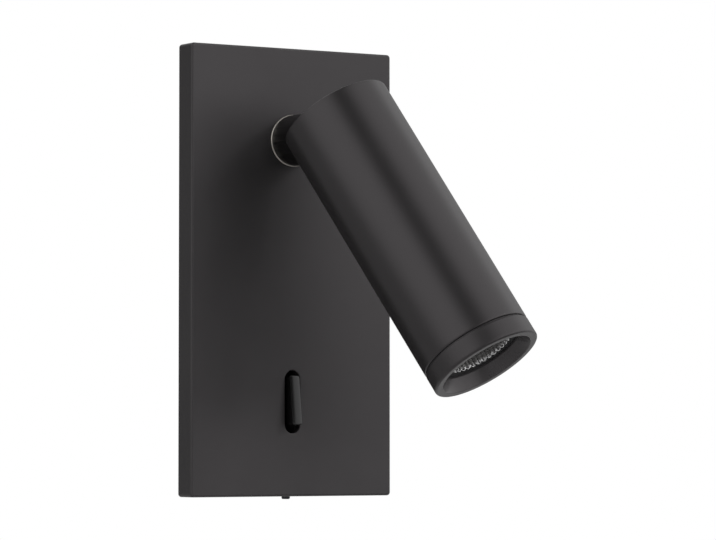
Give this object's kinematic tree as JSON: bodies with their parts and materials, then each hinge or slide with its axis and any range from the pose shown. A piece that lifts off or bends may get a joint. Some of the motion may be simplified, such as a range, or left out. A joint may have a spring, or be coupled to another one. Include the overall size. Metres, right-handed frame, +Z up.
{
  "type": "pivoting spotlight wall light",
  "caption": "Wall light: flat rectangular plate with a slim cylindrical spotlight head that swivels and tilts on a short stub, and a narrow rocker switch below.",
  "frame": {"origin": "centre of the four wall screws, on the wall's surface, which is the back plane of the bracket and of the plate's rim", "axes": "+X to the right and +Z up as seen from the room; -Y out of the wall towards the room"},
  "size_m": [0.0862, 0.1331, 0.161],
  "materials": {
    "black_paint": "smooth satin black paint",
    "black_gloss": "semi-gloss black moulding",
    "black_plastic": "matt black moulding",
    "black_steel": "blackened steel",
    "zinc_steel": "zinc plated",
    "nickel": "pale warm nickel, satin",
    "brass": "plain turned brass",
    "aluminium": "plain turned aluminium",
    "silvered": "bright metallised facets",
    "pale_plastic": "off-white moulding",
    "grey_rubber": "soft grey pad",
    "phosphor": "yellow phosphor under clear silicone"
  },
  "bodies": {
    "base": {"front_plate": "black_paint", "wall_bracket": "zinc_steel", "set_screw": "black_steel", "driver_case": "black_plastic", "driver_screws": "zinc_steel", "terminal_block": "pale_plastic", "terminal_screws": "zinc_steel", "earth_screw": "brass", "swivel_bush": "brass", "swivel_washer": "nickel", "stop_pin": "zinc_steel", "switch_housing": "black_plastic", "switch_terminals": "brass", "switch_screws": "zinc_steel", "rocker_pin": "zinc_steel"},
    "rocker": {"rocker": "black_gloss"},
    "swivel": {"swivel_stub": "black_paint", "stop_washer": "zinc_steel", "lock_washer": "zinc_steel", "swivel_nut": "brass"},
    "head": {"head_shell": "black_paint", "pivot_block": "aluminium", "pivot_screw": "black_steel", "disc_spring": "zinc_steel", "pivot_nut": "zinc_steel", "friction_washers": "pale_plastic", "tie_rods": "zinc_steel", "heat_sink": "aluminium", "thermal_pad": "grey_rubber", "led_board": "pale_plastic", "led_emitter": "phosphor", "led_holder": "pale_plastic", "holder_screws": "zinc_steel", "reflector": "silvered", "reflector_ring": "black_plastic", "bezel": "black_paint"}
  },
  "joints": [
    {"name": "swivel", "type": "hinge", "parent": "base", "child": "swivel", "pos_m": [0, -0.0095, 0.0469], "axis": [0, -1, 0], "range_deg": [-185.45, 150.55]},
    {"name": "tilt", "type": "hinge", "parent": "swivel", "child": "head", "pos_m": [0, -0.0463, 0.0469], "axis": [-0.954, 0, -0.2999], "range_deg": [-29.8, 60.2]},
    {"name": "rocker_switch", "type": "hinge", "parent": "base", "child": "rocker", "pos_m": [0, -0.0045, -0.0467], "axis": [1, 0, 0], "range_deg": [0, 14]}
  ]
}
